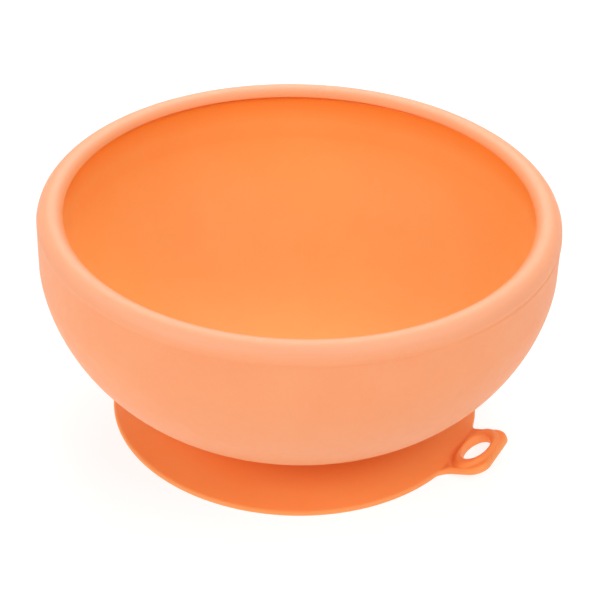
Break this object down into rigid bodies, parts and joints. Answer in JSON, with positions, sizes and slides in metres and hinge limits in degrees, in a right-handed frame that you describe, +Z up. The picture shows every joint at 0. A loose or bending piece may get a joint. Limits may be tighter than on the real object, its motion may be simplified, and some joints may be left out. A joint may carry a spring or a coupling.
{
  "type": "suction bowl",
  "caption": "Baby's silicone bowl with a rounded rim and food liner on a suction foot that presses flat, with a pull tab.",
  "frame": {"origin": "on the table surface, under the centre of the suction foot and of the bowl", "axes": "+Z up through the bowl's axis, +X towards the pull tab, +Y completes the right-handed frame"},
  "size_m": [0.125, 0.125, 0.0592],
  "materials": {
    "shell_silicone": "soft matt silicone, peach",
    "liner_silicone": "soft matt silicone, orange",
    "foot_silicone": "soft matt silicone, orange"
  },
  "bodies": {
    "foot": {"sealing_lip": "foot_silicone", "suction_dome": "foot_silicone"},
    "bowl": {"outer_shell": "shell_silicone", "inner_liner": "liner_silicone", "suction_stem": "foot_silicone"},
    "tab": {"pull_tab": "foot_silicone"}
  },
  "joints": [
    {"name": "suction_press", "type": "slide", "parent": "foot", "child": "bowl", "axis": [0, 0, -1], "range_m": [0, 0.003], "stiffness_N_per_m": 2500, "springref_m": -0.0012, "deforming": ["suction_dome"]},
    {"name": "tab_lift", "type": "hinge", "parent": "foot", "child": "tab", "pos_m": [0.0462, 0, 0.001], "axis": [0, -1, 0], "range_deg": [0, 60], "stiffness_Nm_per_rad": 0.012, "springref_deg": -5.73}
  ]
}
